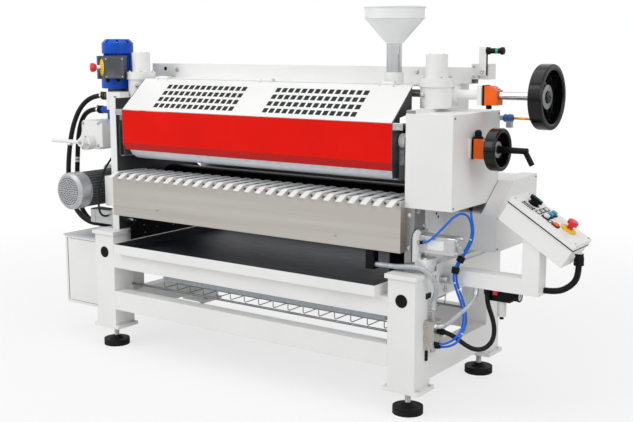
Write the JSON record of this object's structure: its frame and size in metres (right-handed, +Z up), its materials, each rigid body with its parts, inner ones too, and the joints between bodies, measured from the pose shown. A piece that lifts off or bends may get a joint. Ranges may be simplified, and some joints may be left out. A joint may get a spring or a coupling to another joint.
{
  "type": "roller glue spreader",
  "caption": "Floor-standing roller glue spreader: rubber applicator rolls and doctor rolls between side frames, with a hinged hood, lift handwheel, glue pump, funnel and control panel.",
  "frame": {"origin": "on the floor under the middle of the whole machine without its hoses", "axes": "+X to the right along the rolls, +Y from the infeed side to the back, +Z up"},
  "size_m": [2.6558, 0.8, 1.551],
  "materials": {
    "white_paint": "gloss",
    "red_paint": "gloss",
    "stainless": "brushed",
    "dark_tray": "satin",
    "wire_steel": "bright",
    "bright_steel": "machined",
    "roll_rubber": "matte",
    "chromed_roll": "polished",
    "gear_steel": "machined",
    "black_rubber": "matte",
    "black_plastic": "satin",
    "dark_grey_paint": "satin",
    "blue_paint": "gloss",
    "silver_cast": "cast",
    "white_plastic": "gloss",
    "clear_plastic": "clear",
    "blue_plastic": "gloss",
    "green_plastic": "gloss",
    "red_plastic": "gloss",
    "orange_plastic": "gloss",
    "grey_conduit": "satin"
  },
  "bodies": {
    "machine": {"levelling_feet": "black_rubber", "frame_legs": "white_paint", "frame_beams": "white_paint", "drip_tray": "dark_tray", "wire_basket": "wire_steel", "side_frames": "white_paint", "crossbeam": "white_paint", "jack_housings": "white_paint", "dam_cylinders": "stainless", "comb_guard": "stainless", "gear_covers": "white_paint", "drive_cover": "white_paint", "motor_body": "silver_cast", "gear_reducer": "silver_cast", "cabinet_body": "white_paint", "valve_box": "white_paint", "pump_motor": "blue_paint", "pump_head": "dark_grey_paint", "funnel": "white_plastic", "control_arm": "white_paint", "control_box": "white_paint", "air_unit": "black_plastic", "valve_block": "stainless", "position_counters": "orange_plastic", "pump_hose_upper": "black_rubber", "pump_hose_lower": "black_rubber", "drain_hose": "grey_conduit", "black_hose": "black_rubber", "clear_hose": "clear_plastic", "air_tube": "blue_plastic", "air_tube_branch": "blue_plastic", "switch_cable": "black_rubber", "control_conduit": "black_rubber"},
    "lower_roll": {"lower_roll_shaft": "bright_steel", "lower_roll_cover": "roll_rubber"},
    "lower_doctor": {"lower_doctor_roll": "chromed_roll"},
    "lower_idler": {"lower_idler_gear": "gear_steel"},
    "upper_head": {"head_blocks": "white_paint"},
    "doctor_carrier": {"doctor_blocks": "gear_steel"},
    "upper_roll": {"upper_roll_shaft": "bright_steel", "upper_roll_cover": "roll_rubber"},
    "upper_doctor": {"upper_doctor_roll": "chromed_roll"},
    "upper_idler": {"upper_idler_gear": "gear_steel"},
    "hood": {"hood_shell": "white_paint", "red_panel": "red_paint"},
    "lift_wheel": {"lift_wheel": "black_plastic"},
    "doctor_wheel": {"doctor_wheel": "black_plastic"},
    "clamp_lever": {"clamp_lever": "bright_steel"},
    "hand_lever": {"hand_lever": "black_plastic"},
    "valve_lever": {"valve_lever": "bright_steel"},
    "cabinet_door": {"cabinet_door": "white_paint"},
    "motor_fan": {"motor_fan": "black_plastic"},
    "lower_dam_left": {"lower_dam_left": "stainless"},
    "lower_dam_right": {"lower_dam_right": "stainless"},
    "rotary_switch": {"rotary_switch": "black_plastic"},
    "button_white": {"button_white": "white_plastic"},
    "button_blue": {"button_blue": "blue_plastic"},
    "button_green": {"button_green": "green_plastic"},
    "estop_button": {"estop_button": "red_plastic"},
    "estop_left": {"estop_left": "red_plastic"}
  },
  "joints": [
    {"name": "lower_roll_spin", "type": "hinge", "parent": "machine", "child": "lower_roll", "pos_m": [-0.09803, 0, 0.725], "axis": [1, 0, 0], "continuous": true},
    {"name": "lower_idler_spin", "type": "hinge", "parent": "machine", "child": "lower_idler", "pos_m": [-0.93703, -0.102, 0.725], "axis": [1, 0, 0], "continuous": true},
    {"name": "lower_doctor_spin", "type": "hinge", "parent": "machine", "child": "lower_doctor", "pos_m": [-0.09803, -0.204, 0.725], "axis": [1, 0, 0], "continuous": true},
    {"name": "head_lift", "type": "slide", "parent": "machine", "child": "upper_head", "axis": [0, 0, 1], "range_m": [-0.018, 0.06]},
    {"name": "upper_roll_spin", "type": "hinge", "parent": "upper_head", "child": "upper_roll", "pos_m": [-0.09803, 0, 0.975], "axis": [1, 0, 0], "continuous": true},
    {"name": "upper_idler_spin", "type": "hinge", "parent": "upper_head", "child": "upper_idler", "pos_m": [0.74097, -0.102, 0.975], "axis": [1, 0, 0], "continuous": true},
    {"name": "doctor_setting", "type": "slide", "parent": "upper_head", "child": "doctor_carrier", "axis": [0, -1, 0], "range_m": [0, 0.004]},
    {"name": "upper_doctor_spin", "type": "hinge", "parent": "doctor_carrier", "child": "upper_doctor", "pos_m": [-0.09803, -0.204, 0.975], "axis": [1, 0, 0], "continuous": true},
    {"name": "hood_hinge", "type": "hinge", "parent": "machine", "child": "hood", "pos_m": [-0.09803, -0.15, 1.256], "axis": [-1, 0, 0], "range_deg": [0, 75]},
    {"name": "lift_wheel_turn", "type": "hinge", "parent": "machine", "child": "lift_wheel", "pos_m": [1.12197, -0.062, 1.217], "axis": [1, 0, 0], "range_deg": [-1297, 4321]},
    {"name": "doctor_wheel_turn", "type": "hinge", "parent": "machine", "child": "doctor_wheel", "pos_m": [0.96197, -0.14, 1.023], "axis": [1, 0, 0], "range_deg": [-1, 721]},
    {"name": "clamp_lever_turn", "type": "hinge", "parent": "doctor_wheel", "child": "clamp_lever", "pos_m": [1.00197, -0.14, 1.023], "axis": [1, 0, 0], "range_deg": [-60, 60]},
    {"name": "hand_lever_swing", "type": "hinge", "parent": "machine", "child": "hand_lever", "pos_m": [0.81799, 0.0447, 1.302], "axis": [0, 1, 0], "range_deg": [0, 60]},
    {"name": "valve_lever_swing", "type": "hinge", "parent": "machine", "child": "valve_lever", "pos_m": [-1.09803, -0.285, 0.949], "axis": [0, 1, 0], "range_deg": [-45, 45]},
    {"name": "cabinet_door_hinge", "type": "hinge", "parent": "machine", "child": "cabinet_door", "pos_m": [-1.21203, -0.298, 0.323], "axis": [0, 0, -1], "range_deg": [0, 110]},
    {"name": "motor_fan_spin", "type": "hinge", "parent": "machine", "child": "motor_fan", "pos_m": [-1.09803, -0.36, 0.725], "axis": [0, 1, 0], "continuous": true},
    {"name": "lower_dam_left_press", "type": "slide", "parent": "machine", "child": "lower_dam_left", "axis": [-1, 0, 0], "range_m": [0, 0.008]},
    {"name": "lower_dam_right_press", "type": "slide", "parent": "machine", "child": "lower_dam_right", "axis": [1, 0, 0], "range_m": [0, 0.008]},
    {"name": "rotary_switch_turn", "type": "hinge", "parent": "machine", "child": "rotary_switch", "pos_m": [1.10772, -0.11, 0.82856], "axis": [0.524, 0, 0.8517], "range_deg": [-60, 60]},
    {"name": "button_white_press", "type": "slide", "parent": "machine", "child": "button_white", "axis": [-0.524, 0, -0.8517], "range_m": [0, 0.0035], "stiffness_N_per_m": 200},
    {"name": "button_blue_press", "type": "slide", "parent": "machine", "child": "button_blue", "axis": [-0.524, 0, -0.8517], "range_m": [0, 0.0035], "stiffness_N_per_m": 200},
    {"name": "button_green_press", "type": "slide", "parent": "machine", "child": "button_green", "axis": [-0.524, 0, -0.8517], "range_m": [0, 0.0035], "stiffness_N_per_m": 200},
    {"name": "estop_press", "type": "slide", "parent": "machine", "child": "estop_button", "axis": [-0.524, 0, -0.8517], "range_m": [0, 0.005]},
    {"name": "estop_left_press", "type": "slide", "parent": "machine", "child": "estop_left", "axis": [0.5, 0.866, 0], "range_m": [0, 0.005]}
  ],
  "couplings": [
    {"joint": "lower_idler_spin", "follows": "lower_roll_spin", "ratio": -1},
    {"joint": "lower_doctor_spin", "follows": "lower_roll_spin", "ratio": 1},
    {"joint": "upper_roll_spin", "follows": "lower_roll_spin", "ratio": -1},
    {"joint": "upper_idler_spin", "follows": "lower_roll_spin", "ratio": 1},
    {"joint": "upper_doctor_spin", "follows": "lower_roll_spin", "ratio": -1},
    {"joint": "motor_fan_spin", "follows": "lower_roll_spin", "ratio": 20},
    {"joint": "lift_wheel_turn", "follows": "head_lift", "rad_per_m": 1256.6},
    {"joint": "doctor_wheel_turn", "follows": "doctor_setting", "rad_per_m": 3141.6}
  ]
}
